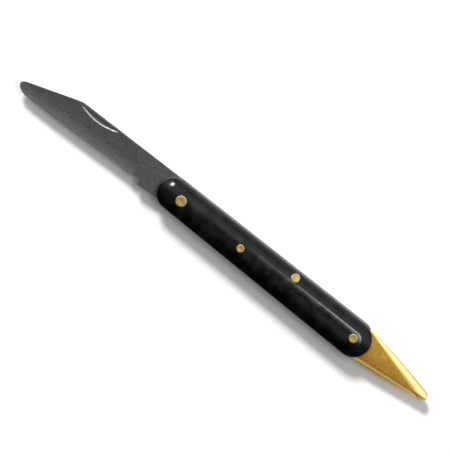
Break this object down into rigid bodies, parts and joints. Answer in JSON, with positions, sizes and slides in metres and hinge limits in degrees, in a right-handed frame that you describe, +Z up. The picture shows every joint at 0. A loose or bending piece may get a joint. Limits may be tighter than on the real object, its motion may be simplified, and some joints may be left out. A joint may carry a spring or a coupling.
{
  "type": "folding grafting knife",
  "caption": "Folding grafting knife: slip-joint blade with dropped point and nail nick, black scales pinned over steel liners, and a fixed brass bark lifter at the tail.",
  "frame": {"origin": "on the ground under the middle of the open knife's box", "axes": "+X from the blade tip to the bark lifter's tip, +Y to the back of the knife, +Z up out of the side with the nail nick"},
  "size_m": [0.18, 0.0132, 0.0114],
  "materials": {
    "blade_steel": "dull fine-ground grey",
    "spring_steel": "plain ground",
    "black_scale": "satin to gloss",
    "brass": "ground, lightly polished"
  },
  "bodies": {
    "handle": {"back_spring": "spring_steel", "bark_lifter": "brass", "upper_liner": "spring_steel", "lower_liner": "spring_steel", "upper_scale": "black_scale", "lower_scale": "black_scale", "pivot_pin": "brass", "spring_pin": "brass", "tail_pin": "brass", "upper_scale_rivet": "brass", "lower_scale_rivet": "brass"},
    "blade": {"blade": "blade_steel"}
  },
  "joints": [
    {"name": "blade_fold", "type": "hinge", "parent": "handle", "child": "blade", "pos_m": [-0.0202, 0, 0.0057], "axis": [0, 0, 1], "range_deg": [0, 175]}
  ]
}
